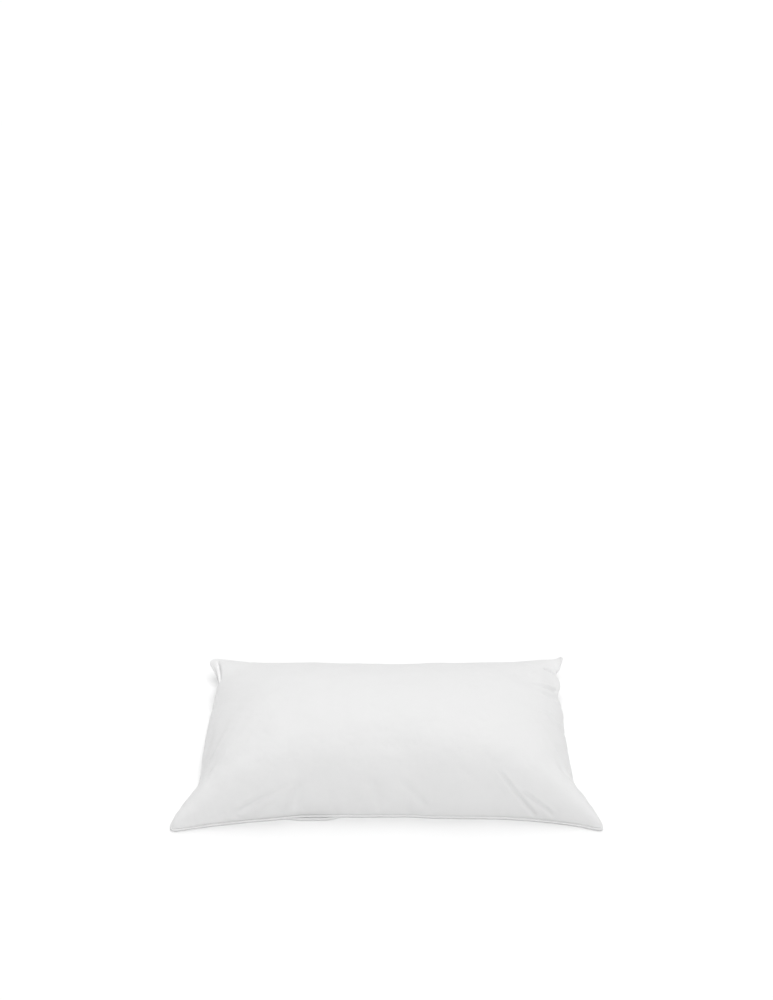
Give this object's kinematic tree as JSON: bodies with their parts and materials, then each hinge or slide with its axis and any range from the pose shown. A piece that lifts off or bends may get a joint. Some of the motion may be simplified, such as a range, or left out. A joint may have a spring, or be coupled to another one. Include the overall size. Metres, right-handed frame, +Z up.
{
  "type": "bed pillow",
  "caption": "Rectangular bed pillow: plain ticking case with a corded edge, soft filling and a stitched-shut filling opening, lying flat.",
  "frame": {"origin": "middle of the underside, on the surface the pillow lies on", "axes": "+X along the long edges, -Y towards the long edge with the filling opening, +Z up from the underside to the crown"},
  "size_m": [0.7444, 0.4944, 0.128],
  "materials": {
    "ticking": "closely woven white cotton ticking, matt with a faint sheen",
    "filling": "loose soft white filling",
    "edge_strip": "bias-cut white cotton strip drawn round a cord",
    "cotton_cord": "twisted unbleached cotton cord",
    "thread": "white polyester sewing thread",
    "label_tape": "blank white satin tape, folded double"
  },
  "bodies": {
    "root": {"top_panel": "ticking", "bottom_panel": "ticking", "filling": "filling", "piping_strip": "edge_strip", "piping_cord": "cotton_cord", "seam_needle_thread": "thread", "seam_bobbin_thread": "thread", "closing_thread": "thread", "care_label": "label_tape"}
  },
  "joints": []
}
